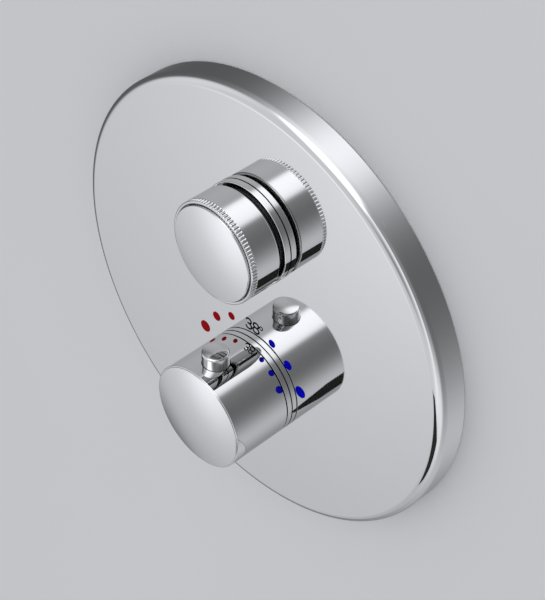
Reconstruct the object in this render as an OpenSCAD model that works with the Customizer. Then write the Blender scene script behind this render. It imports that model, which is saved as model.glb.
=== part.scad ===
// Concealed thermostatic bath and shower mixer: round cover plate, two knobs and the in-wall body.
// +Z is up and the plate faces -Y. The wall's surface is y = 0, and the brass body lies behind it.
// The upper knob turns water on and sends it to the bath or the shower. The lower knob sets its heat.

/* [Cover plate] */
// Outer diameter of the round cover plate
plate_d = 200; // [190:1:220]
// How far the plate's face stands off the wall
plate_depth = 13.5; // [13:0.5:16]
// Thickness of the drawn sheet
plate_t = 1.2; // [0.8:0.1:1.6]
// Radius of the rounded edge round the plate's face
plate_edge_r = 4; // [3:0.5:6]
// Depth of the lip drawn inwards round each hole
plate_lip_l = 5; // [4.5:0.5:6]
// Width of the foam seal inside the plate's rim
seal_w = 4; // [3:0.5:6]
// Height of the foam seal along the rim
seal_h = 6; // [4:0.5:7]
// Height between the two knob axes
knob_spacing = 79; // [78:1:90]

/* [Flow knob] */
// Diameter of the upper knob, and of the collar behind it
flow_knob_d = 44; // [43.5:0.5:46]
// Length of the upper knob along its axis
flow_knob_l = 14.5; // [14:0.1:17]
// Length of the collar between the plate and the upper knob
flow_collar_l = 3; // [2.5:0.5:4]
// Open groove between that collar and the upper knob
flow_gap = 2.3; // [2:0.1:3]
// Wall of the upper knob
flow_wall = 1.5; // [1:0.1:1.5]
// Flutes cut round the upper knob's front rim
flute_count = 94; // [60:2:100]
// Length of the flutes along the knob
flute_l = 2.6; // [2:0.1:4]
// Depth of the flutes
flute_depth = 0.35; // [0.2:0.05:0.4]
// Radius of the rounded bead round the upper knob's front
bead_r = 0.8; // [0.7:0.1:1.1]
// Depth of the finer notches on the bead's inner side
notch_depth = 0.25; // [0.15:0.05:0.3]
// Diameter of the domed disc in the upper knob's front
flow_disc_d = 40.6; // [39:0.2:40.8]
// How far that disc's edge stands out of the upper knob
flow_disc_stand = 0.9; // [0.4:0.1:1.5]

/* [Temperature knob] */
// Diameter of the lower knob, and of the collar behind it
temp_knob_d = 47; // [46.5:0.5:50]
// Length of the lower knob along its axis
temp_knob_l = 27.6; // [27.5:0.1:30]
// Length of the collar between the plate and the lower knob
temp_collar_l = 2.5; // [2.5:0.5:4]
// Open seam between that collar and the lower knob
temp_gap = 0.4; // [0.3:0.1:0.5]
// Wall of the lower knob
temp_wall = 2; // [1.5:0.1:2.2]
// Width of the lower knob's rim outside its front disc
temp_rim = 0.6; // [0.5:0.1:1.5]
// How far that disc's edge stands out of the lower knob
temp_disc_stand = 0.7; // [0.4:0.1:1.5]
// Diameter of the safety button's head
button_d = 11.3; // [9:0.1:12]
// How far the button stands out of the knob
button_stand = 6.4; // [3.5:0.1:7]
// Distance from the knob's front to the button's middle
button_back = 10.8; // [9:0.1:12]
// Distance that the button is pressed in
button_travel = 2.5; // [1.5:0.1:2.5]

/* [Sleeves and necks] */
// Outer diameter of both sleeves' tubes
sleeve_d = 41; // [40:0.5:41]
// Bore of both sleeves
sleeve_bore_d = 35; // [35:0.1:35.5]
// Gap between a sleeve's tube and the plate's lip
sleeve_gap = 0.4; // [0.3:0.05:0.5]
// Depth of the step behind each collar's edge, which shows as a dark line on the plate
seam_l = 0.25; // [0.1:0.05:0.4]
// Cord diameter of the sleeves' sealing rings
sleeve_cord = 2; // [1.5:0.1:2]
// Outer diameter of the body's two necks
neck_d = 34.6; // [34:0.1:34.7]
// How far the necks stand out of the wall's surface
neck_stand = 6; // [5:0.5:6.5]

/* [Cartridges] */
// Outer diameter of both cartridges
cartridge_d = 28.6; // [27:0.2:29]
// Width across the flats of the retaining nuts
nut_af = 28; // [26:0.5:29]
// Diameter of the nose in front of each cartridge
nose_d = 16; // [15:0.5:17]
// Diameter of the turning shafts
shaft_d = 10; // [9:0.1:10.5]
// Diameter over the spline's teeth
spline_d = 8; // [7:0.1:8.5]
// Teeth of the spline
spline_teeth = 20; // [12:1:24]
// Diameter of the two ceramic discs
disc_d = 23; // [22:0.2:23.4]
// Diameter of the ports in the ceramic disc
port_d = 7; // [5:0.5:7.5]
// Diameter of the sliding sleeve that mixes hot and cold
shuttle_d = 22; // [20:0.2:22.4]
// Length of that sliding sleeve
shuttle_l = 7; // [6:0.2:7.4]

/* [Body] */
// Depth of the pipe axes behind the wall's surface
pipe_depth = 43.5; // [43:0.5:46]
// Wall thickness round the cartridge chambers
chamber_wall = 5.5; // [4:0.5:7]
// Distance from the middle to the face of each side inlet
inlet_reach = 46; // [44:1:60]
// Distance from the flow axis up to the shower outlet's face
shower_reach = 50; // [46:1:60]
// Distance from the temperature axis down to the bath outlet's face
bath_reach = 56; // [54:1:70]
// Diameter of the tapped bores for G 1/2 pipe
tapping_d = 18.6; // [18.6:0.1:19]
// Depth of the tapped bores
tapping_l = 14; // [12:0.5:14]
// Outer diameter of the pipe bosses
boss_d = 27; // [25:0.5:30]
// Width across the flats of the hexagons at the bosses' ends
boss_af = 29; // [28:0.5:32]
// Length of those hexagons
boss_hex_l = 11; // [8:0.5:13]
// Diameter of the rear channel's pipe
channel_d = 16; // [15:0.5:18]

/* [Wall bracket] */
// Width of the steel wall bracket
bracket_w = 128; // [124:1:150]
// Height of the steel wall bracket
bracket_h = 60; // [56:1:80]
// Thickness of the steel wall bracket
bracket_t = 2.5; // [2:0.5:4]
// Depth of the flanges folded forward along the bracket's long edges
bracket_flange_l = 9; // [7:0.5:12]
// Distance between the fixing holes across
fixing_w = 112; // [108:1:132]
// Distance between the fixing holes up and down
fixing_h = 40; // [36:1:60]
// Diameter of the fixing holes
fixing_d = 6; // [4.5:0.5:7]

/* [Hidden] */

// Rounds of the plate and of everything else
$fn = 96;
plate_fn = 180;
over = 1;
fit = 0.05;
close_fit = 0.1;
free_fit = 0.2;
// Half width of a sealing ring's groove, as a share of its cord
groove_share = 0.6;

chrome = [0.80, 0.81, 0.83];
brass = [0.78, 0.62, 0.34];
black = [0.07, 0.07, 0.08];
grey = [0.55, 0.56, 0.58];
steel = [0.66, 0.68, 0.70];
ceramic = [0.93, 0.92, 0.90];

// Heights of the two knob axes
flow_z = knob_spacing / 2;
temp_z = -knob_spacing / 2;

// Places along Y, from the front of each knob to the wall
plate_y = -plate_depth;
flow_collar_y = plate_y - flow_collar_l;
flow_rear_y = flow_collar_y - flow_gap;
flow_front_y = flow_rear_y - flow_knob_l;
temp_collar_y = plate_y - temp_collar_l;
temp_rear_y = temp_collar_y - temp_gap;
temp_front_y = temp_rear_y - temp_knob_l;

// The sleeves: a flange in front of the plate and a tube through it onto the neck
hole_d = sleeve_d + 2 * sleeve_gap;
sleeve_tube_l = plate_depth + neck_stand / 2;
ring_groove = sleeve_cord - sleeve_gap + close_fit;
seam_w = 0.6;
sleeve_ring_y = plate_y + plate_lip_l / 2;

// The necks and the chambers behind them
barrel_rear_l = 14.5;
bore_cover = 2;
chamber_d = cartridge_d + 2 * free_fit;
thread_d = chamber_d + 1;
thread_l = 10;
neck_y = -neck_stand;
neck_chamfer = 0.8;
chamber_y = neck_y + thread_l;
barrel_y = 8;
barrel_chamfer = 1.5;
barrel_d = chamber_d + 2 * chamber_wall;
nut_head_l = 6;
nut_y = neck_y - nut_head_l;
nose_l = 7.5;
nose_y = nut_y - nose_l;

// Knob fronts: a recess for the disc, a web and a dished seat for the screw's head
disc_dome = 1;
disc_round = 0.4;
recess_l = 1.6;
web_t = 1.5;
dish_d = 10;
dish_l = 2.2;
screw_d = 4;
screw_head_d = 7.6;
screw_l = 9;

// Drivers and their stops
driver_t = 6;
driver_hub_d = 15;
stop_plate_t = 1.9;
stop_plate_y = flow_collar_y - free_fit - stop_plate_t;
stop_rim_t = 1.5;
stop_rim_l = 3.6;
stop_in_r = 12;
stop_out_r = 17;
stop_wall_l = 3;
lug_half_angle = 8;
stop_gap_angle = 0.5;
flow_turn = 90;
cold_turn = 150;
hot_turn = 60;

// The diverter: turning disc, fixed disc and rubber seal against the chamber's floor
mixed_y = 25;
window_d = 4;
diverter_seal_t = 3.6;
fixed_disc_t = 5;
turning_disc_t = 4.5;
drive_flange_t = 4;
drive_flange_gap = 1;
fixed_disc_y = mixed_y + window_d / 2 + 2 * free_fit;
flow_floor_y = fixed_disc_y + fixed_disc_t + diverter_seal_t;
turning_disc_y = fixed_disc_y - turning_disc_t;
drive_flange_y = turning_disc_y - drive_flange_t;
port_offset = 7;
drive_tab = [12, 3];

// The thermostat: carrier, wax element, sliding sleeve and end cap
supply_offset = 4.5;
cold_y = pipe_depth - supply_offset;
hot_y = pipe_depth + supply_offset;
temp_floor_y = pipe_depth + barrel_rear_l;
shuttle_y = pipe_depth - shuttle_l / 2;
seat_gap_cold = 0.5;
seat_gap_hot = 0.95;
carrier_af = 17;
carrier_back = 3;
carrier_y = chamber_y + carrier_back;
carrier_l = 14;
carrier_wall = 5;
spring_bore_d = 13.4;
rod_d = 8;
rod_gap = 0.5;
element_d = 9.6;
element_gap = 3;
element_y = carrier_y + carrier_l + element_gap;
element_l = 22;
element_rim = 1;
element_rim_l = 3;
pin_d = 3;
pin_depth = 9;
pin_gap = 2;
hub_wall = 1.6;
spider_t = 2.4;
annulus_depth = 1.6;

// Water channels
channel_y = temp_floor_y + channel_d / 2;
channel_bore_d = 8;
channel_lap = 3;
channel_stub = 2;
channel_top = flow_z - port_offset;
channel_low = temp_z - barrel_d / 2 - channel_d / 2 + channel_lap;
channel_end = channel_low - channel_d / 2 - channel_stub;
mix_bore_d = 8;
check_d = 15;
check_bore_d = check_d + 2 * close_fit;
check_l = 11.5;
filter_d = 17.4;
filter_t = 2.4;
feed_d = 6;
stroke = 2.5;
check_seat_t = 1.5;
check_spider_t = 1.6;
check_wall = 1;
check_port_d = 2.6;
poppet_d = 9.6;
poppet_t = 1.8;
stem_d = 3;
pad_w = 30;
pad_h = 16;
pad_z = 22;
pad_stand = 1;
pad_corner = 3;
gusset_t = 5;
gusset_h = 28;
back_y = channel_y + channel_d / 2 + pad_stand;
bracket_screw_d = 4;
bracket_screw_l = 10;
bracket_screw_x = 10.5;

// Turns a flat profile of radius and depth into a solid round the Y axis, at height z
module turned(z = 0) {
    translate([0, 0, z]) rotate([-90, 0, 0]) rotate_extrude() children();
}

// A ring in a profile: from radius r0 to r1 and from y0 to y1
module band(r0, r1, y0, y1) {
    translate([r0, y0]) square([r1 - r0, y1 - y0]);
}

// A straight round bar along Y
module bar(d, y0, y1, z = 0, x = 0) {
    translate([x, y0, z]) rotate([-90, 0, 0]) cylinder(d = d, h = y1 - y0);
}

// An outline extruded along Y
module along_y(y0, y1, z = 0) {
    translate([0, y0, z]) rotate([-90, 0, 0]) linear_extrude(height = y1 - y0) children();
}

// A round bar along X, and one along Z
module bar_x(d, x0, x1, y, z) {
    translate([x0, y, z]) rotate([0, 90, 0]) cylinder(d = d, h = x1 - x0);
}
module bar_z(d, z0, z1, y, x = 0) {
    translate([x, y, z0]) cylinder(d = d, h = z1 - z0);
}

// A bar along Y with its front and rear edges turned off
module bevelled_bar(d, y0, y1, chamfer, z) {
    r = d / 2;
    turned(z) polygon([
        [0, y0], [r - chamfer, y0], [r, y0 + chamfer], [r, y1 - chamfer], [r - chamfer, y1], [0, y1]
    ]);
}

// A spanner hexagon along Z, whose corners are turned off at 30 degrees at its far end
hex_face_share = 0.475;
hex_turned_share = 0.6;
module hexagon(af, length) {
    face_r = hex_face_share * af;
    outer_r = hex_turned_share * af;
    intersection() {
        cylinder(d = af / cos(30), h = length, $fn = 6);
        rotate_extrude() polygon([
            [0, 0], [outer_r, 0], [outer_r, length - (outer_r - face_r) * tan(30)], [face_r, length],
            [0, length]
        ]);
    }
}

// The profile of a sealing ring: its cord at a given middle radius and depth
module cord_profile(cord, r, y) {
    translate([r, y]) circle(d = cord, $fn = 24);
}

// Points of a spline with square-cut teeth
spline_step = 360 / spline_teeth;
tooth_share = 0.25;
root_share = 0.88;
function spline_points(r) = [
    for (i = [0 : spline_teeth - 1], k = [[-tooth_share, root_share], [-tooth_share / 2, 1],
        [tooth_share / 2, 1], [tooth_share, root_share]])
        r * k[1] * [cos((i + k[0]) * spline_step), sin((i + k[0]) * spline_step)]
];

// A wound spring along Z: one unbroken wire of six sides, swept along a helix
spring_steps = 12;
wire_sides = 6;
function coil_ring(coil_r, wire_r, pitch, a) = [
    for (k = [0 : wire_sides - 1]) let (b = k * 360 / wire_sides)
        [(coil_r + wire_r * cos(b)) * cos(a), (coil_r + wire_r * cos(b)) * sin(a),
         pitch * a / 360 + wire_r * sin(b)]
];
module spring(coil_d, wire_d, length, turns) {
    pitch = (length - wire_d) / turns;
    rings = round(turns * spring_steps);
    points = [
        for (i = [0 : rings]) each coil_ring(coil_d / 2, wire_d / 2, pitch, i * 360 / spring_steps)
    ];
    sides = [
        for (i = [0 : rings - 1], k = [0 : wire_sides - 1])
            let (a = i * wire_sides + k, b = i * wire_sides + (k + 1) % wire_sides)
            each [[a, b, b + wire_sides], [a, b + wire_sides, a + wire_sides]]
    ];
    ends = [
        [for (k = [wire_sides - 1 : -1 : 0]) k],
        [for (k = [0 : wire_sides - 1]) rings * wire_sides + k]
    ];
    translate([0, 0, wire_d / 2]) polyhedron(points = points, faces = concat(sides, ends), convexity = 10);
}

// A sector of a ring, drawn from angle a0 to a1 measured from straight up
module ring_sector(r0, r1, a0, a1) {
    span = a1 - a0;
    steps = ceil(span / 45);
    intersection() {
        difference() {
            circle(r = r1);
            circle(r = r0);
        }
        polygon(concat([[0, 0]], [
            for (i = [0 : steps]) let (a = a0 + span * i / steps) 2 * r1 * [sin(a), -cos(a)]
        ]));
    }
}

// The deep round plate, drawn from sheet, with two lipped holes for the sleeves
module plate_shell(r, depth, edge) {
    band(0, r, edge - depth, 0);
    band(0, r - edge, -depth, edge - depth);
    translate([r - edge, edge - depth]) circle(r = edge, $fn = plate_fn);
}
module cover_plate() color(chrome) {
    difference() {
        turned() difference() {
            plate_shell(plate_d / 2, plate_depth, plate_edge_r);
            plate_shell(plate_d / 2 - plate_t, plate_depth - plate_t, plate_edge_r - plate_t);
            band(-over, 0, -plate_depth - over, over);
            band(0, plate_d, 0, plate_edge_r);
            band(0, plate_d / 2 - plate_t, -over, over);
        }
        for (z = [flow_z, temp_z]) bar(hole_d, plate_y - over, plate_y + plate_lip_l, z);
    }
    for (z = [flow_z, temp_z])
        turned(z) band(hole_d / 2, hole_d / 2 + plate_t, plate_y + plate_t, plate_y + plate_lip_l);
}

// Foam strip inside the rim, which keeps water out of the wall
module plate_seal() color(black) turned() {
    rim_r = plate_d / 2 - plate_t;
    band(rim_r - seal_w, rim_r, -seal_h, 0);
}

// A sleeve screwed onto its neck: the collar shows in front of the plate, the tube goes through it
module sleeve(collar_d, collar_y, z) {
    chamfer = 0.3;
    groove_r = sleeve_d / 2 - ring_groove;
    turned(z) difference() {
        union() {
            band(sleeve_bore_d / 2, collar_d / 2, collar_y + chamfer, plate_y);
            band(sleeve_bore_d / 2, collar_d / 2 - chamfer, collar_y, plate_y);
            band(sleeve_bore_d / 2, sleeve_d / 2, plate_y, plate_y + sleeve_tube_l);
        }
        band(collar_d / 2 - seam_w, collar_d, plate_y - seam_l, plate_y + over);
        band(groove_r, sleeve_d, sleeve_ring_y - groove_share * sleeve_cord,
            sleeve_ring_y + groove_share * sleeve_cord);
    }
}
module sleeve_ring(z) {
    turned(z) cord_profile(sleeve_cord, hole_d / 2 - sleeve_cord / 2 - fit, sleeve_ring_y);
}
module flow_sleeve() color(chrome) sleeve(flow_knob_d, flow_collar_y, flow_z);
module flow_sleeve_ring() color(black) sleeve_ring(flow_z);
module temp_sleeve() color(chrome) sleeve(temp_knob_d, temp_collar_y, temp_z);
module temp_sleeve_ring() color(black) sleeve_ring(temp_z);

// The inside of a knob: a recess for its disc, a web with a dished screw seat, and a hollow behind
module knob_hollow(front_y, rear_y, inner_r, disc_r) {
    web_y = front_y + recess_l;
    seat_y = web_y + dish_l;
    difference() {
        union() {
            band(0, disc_r + close_fit, front_y - over, web_y);
            band(0, inner_r, web_y + web_t, rear_y + over);
            band(0, dish_d / 2, front_y, seat_y);
        }
        band(dish_d / 2, dish_d / 2 + web_t, web_y, seat_y + web_t);
        band(screw_d / 2 + free_fit, dish_d / 2 + web_t, seat_y, seat_y + web_t);
    }
}

// The upper knob: a turned chrome cap with a beaded, finely fluted front rim
flow_recess_y = flow_front_y + bead_r;
module flow_knob() color(chrome) {
    r = flow_knob_d / 2;
    chamfer = 0.3;
    cutter_r = 2 * flute_depth;
    notch_l = bead_r - fit;
    difference() {
        turned(flow_z) difference() {
            union() {
                band(0, r - bead_r, flow_front_y, flow_rear_y);
                band(0, r, flow_front_y + bead_r, flow_rear_y - chamfer);
                band(0, r - chamfer, flow_front_y + bead_r, flow_rear_y);
                translate([r - bead_r, flow_front_y + bead_r]) circle(r = bead_r, $fn = 48);
            }
            knob_hollow(flow_recess_y, flow_rear_y, r - flow_wall, flow_disc_d / 2);
            band(0, flow_disc_d / 2 + close_fit, flow_front_y - over, flow_recess_y);
        }
        for (i = [0 : flute_count - 1])
            translate([0, flow_front_y - over, flow_z])
                rotate([0, i * 360 / flute_count, 0]) {
                    translate([0, 0, r + flute_depth])
                        rotate([-90, 0, 0]) cylinder(r = cutter_r, h = over + flute_l, $fn = 24);
                    translate([0, 0, flow_disc_d / 2 + close_fit + notch_depth - cutter_r])
                        rotate([-90, 0, 0]) cylinder(r = cutter_r, h = over + notch_l, $fn = 24);
                }
    }
}

// A domed front disc: a flat back on the knob's web, a rounded edge at y and a shallow crown
module front_disc(disc_d, y, back_y, z) {
    r = disc_d / 2;
    crown_edge = r - disc_round;
    crown_r = (crown_edge * crown_edge + disc_dome * disc_dome) / (2 * disc_dome);
    turned(z) {
        band(0, r, y + disc_round, back_y);
        intersection() {
            union() {
                band(0, crown_edge, y - disc_dome, back_y);
                translate([crown_edge, y + disc_round]) circle(r = disc_round, $fn = 32);
            }
            band(0, disc_d, y - disc_dome, back_y);
            translate([0, y - disc_dome + crown_r]) circle(r = crown_r, $fn = 720);
        }
    }
}
module flow_knob_disc() color(chrome)
    front_disc(flow_disc_d, flow_front_y - flow_disc_stand, flow_recess_y + recess_l, flow_z);

// A pan-head screw that draws a knob onto its spindle
module knob_screw(seat_y, z) {
    head_l = dish_l * 0.8;
    difference() {
        turned(z) {
            band(0, screw_head_d / 2, seat_y - head_l, seat_y);
            band(0, screw_d / 2, seat_y, seat_y + screw_l);
        }
        along_y(seat_y - head_l - over, seat_y - head_l / 2, z) circle(d = screw_d * 0.75, $fn = 6);
    }
}
flow_seat_y = flow_recess_y + recess_l + dish_l;
module flow_knob_screw() color(steel) knob_screw(flow_seat_y, flow_z);

// The plastic driver pressed into the upper knob: splined hub, flange and one stop lug
flow_driver_y = flow_recess_y + recess_l + web_t + fit;
flow_hub_y = flow_seat_y + web_t + fit;
module flow_driver() color(grey) {
    r = flow_knob_d / 2 - flow_wall - fit;
    flange_rear_y = flow_driver_y + driver_t;
    difference() {
        bar(2 * r, flow_driver_y, flange_rear_y, flow_z);
        bar(driver_hub_d - over, flow_driver_y - over, flange_rear_y + over, flow_z);
    }
    difference() {
        bar(driver_hub_d, flow_hub_y - over, nose_y - free_fit, flow_z);
        bar(dish_d + 2 * web_t + free_fit, flow_hub_y - 2 * over, flow_hub_y, flow_z);
        along_y(flow_hub_y - over, nose_y + over, flow_z) polygon(spline_points(spline_d / 2 + fit));
    }
    along_y(flange_rear_y - over, stop_plate_y - free_fit, flow_z)
        ring_sector(stop_in_r, stop_out_r - free_fit, -lug_half_angle, lug_half_angle);
}

// A black stop ring on a cartridge's nose: the lug turns in the gap that its wall leaves open
module stop_ring(plate_r, wall_in_r, wall_out_r, wall_y, lug_angle, turn_back, turn_on, z) {
    turned(z) {
        band(nose_d / 2, nose_d / 2 + stop_rim_t, stop_plate_y, nut_y);
        band(nose_d / 2, plate_r, stop_plate_y, stop_plate_y + stop_plate_t);
    }
    along_y(wall_y, stop_plate_y + over, z)
        ring_sector(wall_in_r, wall_out_r, turn_on + lug_angle + stop_gap_angle,
            360 - turn_back - lug_angle - stop_gap_angle);
}
module flow_stop_ring() color(black) {
    rim_r = flow_knob_d / 2 - flow_wall - stop_rim_t;
    stop_ring(rim_r, stop_in_r, stop_out_r, stop_plate_y - stop_wall_l, lug_half_angle, flow_turn,
        flow_turn, flow_z);
    turned(flow_z) band(rim_r - stop_rim_t, rim_r, stop_plate_y - stop_rim_l, stop_plate_y);
}

// Splined front end and shaft that every spindle shares, with two grooves for sealing rings
spindle_cord = 1.5;
spindle_ring_back = 2;
spindle_ring_step = 5;
spindle_ring_ys = [nut_y + spindle_ring_back, nut_y + spindle_ring_back + spindle_ring_step];
module spindle_front(front_y, rear_y, z) {
    along_y(front_y, nose_y + over, z) polygon(spline_points(spline_d / 2));
    turned(z) difference() {
        band(0, shaft_d / 2, nose_y, rear_y);
        for (y = spindle_ring_ys)
            band(shaft_d / 2 - spindle_cord - fit, shaft_d, y - groove_share * spindle_cord,
                y + groove_share * spindle_cord);
    }
}
module spindle_rings(z) {
    turned(z) for (y = spindle_ring_ys)
        cord_profile(spindle_cord, shaft_d / 2 - spindle_cord / 2, y);
}

// The diverter's spindle: its flange at the rear drives the turning disc with a flat tab
module diverter_spindle() color(brass) {
    difference() {
        union() {
            spindle_front(flow_hub_y, drive_flange_y, flow_z);
            bar(disc_d - 2 * drive_flange_gap, drive_flange_y, turning_disc_y, flow_z);
            translate([-drive_tab[0] / 2, turning_disc_y - over, flow_z - drive_tab[1] / 2])
                cube([drive_tab[0], over + turning_disc_t / 3, drive_tab[1]]);
        }
        bar(screw_d, flow_hub_y - over, flow_seat_y + screw_l + over, flow_z);
    }
}
module diverter_spindle_rings() color(black) spindle_rings(flow_z);

// A retaining nut: hexagon head in front of the neck, threaded skirt inside it
module retaining_nut(z) {
    difference() {
        union() {
            translate([0, neck_y, z]) rotate([90, 0, 0]) hexagon(nut_af, nut_head_l);
            bar(thread_d - 2 * close_fit, neck_y, chamber_y, z);
        }
        bar(nose_d + 2 * free_fit, nut_y - over, chamber_y + over, z);
    }
}
module diverter_nut() color(brass) retaining_nut(flow_z);
module thermostat_nut() color(brass) retaining_nut(temp_z);

// The diverter's housing: a nose for the spindle, and a barrel that holds both discs
module diverter_housing() color(grey) {
    difference() {
        turned(flow_z) difference() {
            union() {
                band(0, nose_d / 2, nose_y, chamber_y);
                band(0, cartridge_d / 2, chamber_y, flow_floor_y - diverter_seal_t);
            }
            band(0, shaft_d / 2 + fit, nose_y - over, flow_floor_y);
            band(0, disc_d / 2 + close_fit, drive_flange_y - free_fit, flow_floor_y);
        }
        for (a = [0 : 45 : 315]) translate([0, mixed_y, flow_z]) rotate([0, a, 0])
            cylinder(d = window_d, h = cartridge_d);
    }
}

// Ceramic discs: the turning one has an open notch, the fixed one a port for each outlet
module diverter_turning_disc() color(ceramic) {
    difference() {
        bar(disc_d, turning_disc_y, fixed_disc_y, flow_z);
        translate([-drive_tab[0] / 2 - fit, turning_disc_y - over, flow_z - drive_tab[1] / 2 - fit])
            cube([drive_tab[0] + 2 * fit, over + turning_disc_t / 3 + fit, drive_tab[1] + 2 * fit]);
        bar(port_d, turning_disc_y + turning_disc_t / 2, fixed_disc_y + over, flow_z, port_offset);
        translate([port_offset, turning_disc_y + turning_disc_t / 2, flow_z - port_d / 2])
            cube([disc_d, turning_disc_t, port_d]);
    }
}
module diverter_fixed_disc() color(ceramic) {
    difference() {
        bar(disc_d, fixed_disc_y, fixed_disc_y + fixed_disc_t, flow_z);
        for (s = [-1, 1]) bar(port_d, fixed_disc_y - over, flow_floor_y, flow_z + s * port_offset);
    }
}
module diverter_seal() color(black) {
    difference() {
        bar(cartridge_d, flow_floor_y - diverter_seal_t, flow_floor_y, flow_z);
        for (s = [-1, 1])
            bar(port_d, fixed_disc_y, flow_floor_y + over, flow_z + s * port_offset);
    }
}

// The lower knob: a smooth chrome cap with a radial hole for the safety button
button_y = temp_front_y + button_back;
temp_disc_d = temp_knob_d - 2 * temp_rim;
module radial(y, r0, r1, d) {
    translate([0, y, temp_z + r0]) cylinder(d = d, h = r1 - r0);
}
module temp_knob() color(chrome) {
    r = temp_knob_d / 2;
    chamfer = 0.3;
    difference() {
        turned(temp_z) difference() {
            union() {
                band(0, r, temp_front_y + chamfer, temp_rear_y - chamfer);
                band(0, r - chamfer, temp_front_y, temp_rear_y);
            }
            knob_hollow(temp_front_y, temp_rear_y, r - temp_wall, temp_disc_d / 2);
        }
        radial(button_y, r / 2, temp_knob_d, button_d + 2 * free_fit);
    }
}
module temp_knob_disc() color(chrome)
    front_disc(temp_disc_d, temp_front_y - temp_disc_stand, temp_front_y + recess_l, temp_z);
temp_seat_y = temp_front_y + recess_l + dish_l;
module temp_knob_screw() color(steel) knob_screw(temp_seat_y, temp_z);

// The plastic driver in the lower knob, which also guides the safety button and its catch
button_shank_d = 9;
button_shank_r = 15;
catch_w = 4;
catch_t = 1.6;
catch_l = 16;
catch_r = button_shank_r - catch_t;
catch_y = button_y - catch_w / 2;
button_spring_d = 5.4;
button_spring_wire = 0.5;
spring_floor_r = 8.6;
button_head_r = temp_knob_d / 2 - button_travel;
temp_driver_y = temp_front_y + recess_l + web_t + fit;
temp_hub_y = temp_seat_y + web_t + fit;
button_guide_wall = 3;
temp_driver_rear_y = button_y + button_shank_d / 2 + button_guide_wall;
module temp_driver() color(grey) {
    r = temp_knob_d / 2 - temp_wall - fit;
    difference() {
        union() {
            bar(2 * r, temp_driver_y, temp_driver_rear_y, temp_z);
            bar(driver_hub_d, temp_driver_y, nose_y - free_fit, temp_z);
        }
        bar(dish_d + 2 * web_t + free_fit, temp_driver_y - over, temp_hub_y, temp_z);
        along_y(temp_hub_y - over, nose_y + over, temp_z) polygon(spline_points(spline_d / 2 + fit));
        radial(button_y, catch_r - button_travel - free_fit, temp_knob_d, button_shank_d + 2 * free_fit);
        radial(button_y, button_head_r - button_travel - free_fit, temp_knob_d, button_d + 4 * free_fit);
        radial(button_y, spring_floor_r, temp_knob_d / 2, button_spring_d + 2 * button_spring_wire);
        translate([-catch_w / 2 - free_fit, catch_y, temp_z + catch_r - button_travel - free_fit])
            cube([catch_w + 2 * free_fit, catch_l + over, button_travel + catch_t + 2 * free_fit]);
    }
}

// The safety button: a domed chrome head on a shank, pressed in to turn past 38 degrees
module safety_button() color(chrome) {
    top_r = temp_knob_d / 2 + button_stand;
    dome = 0.9;
    edge = 0.8;
    dome_r = (button_d * button_d / 4 + dome * dome) / (2 * dome);
    translate([0, button_y, temp_z]) rotate_extrude() {
        band(0, button_shank_d / 2, button_shank_r, top_r - dome);
        band(0, button_d / 2, button_head_r, top_r - dome - edge);
        intersection() {
            union() {
                band(0, button_d / 2 - edge, button_head_r, top_r);
                translate([button_d / 2 - edge, top_r - dome - edge]) circle(r = edge, $fn = 24);
            }
            band(0, button_d, button_head_r, top_r);
            translate([0, top_r - dome_r]) circle(r = dome_r, $fn = 360);
        }
    }
}
module button_catch() color(steel)
    translate([-catch_w / 2, catch_y, temp_z + catch_r]) cube([catch_w, catch_l, catch_t]);
module button_spring() color(steel)
    translate([0, button_y, temp_z + spring_floor_r])
        spring(button_spring_d - button_spring_wire, button_spring_wire, catch_r - spring_floor_r, 5);

// The lower stop ring: its wall ends the catch's path at full cold and at full hot
module temp_stop_ring() color(black) {
    wall_in_r = catch_r - free_fit;
    wall_out_r = catch_r + catch_t + stop_rim_t - free_fit;
    wall_y = catch_y + catch_l - stop_wall_l;
    catch_angle = atan((catch_w / 2 + free_fit) / wall_in_r);
    stop_ring(sleeve_bore_d / 2 - free_fit, wall_in_r, wall_out_r, wall_y, catch_angle, hot_turn,
        cold_turn, temp_z);
}

// The thermostat's spindle: a flange takes the thrust, and a threaded rod drives the carrier
thrust_d = 14;
thrust_l = 1.6;
thrust_y = chamber_y + free_fit;
rod_end_y = carrier_y + carrier_wall - rod_gap;
module thermostat_spindle() color(brass) {
    difference() {
        union() {
            spindle_front(temp_hub_y, thrust_y, temp_z);
            bar(thrust_d, thrust_y, thrust_y + thrust_l, temp_z);
            bar(rod_d, thrust_y, rod_end_y, temp_z);
        }
        bar(screw_d, temp_hub_y - over, temp_seat_y + screw_l + over, temp_z);
    }
}
module thermostat_spindle_rings() color(black) spindle_rings(temp_z);

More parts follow.
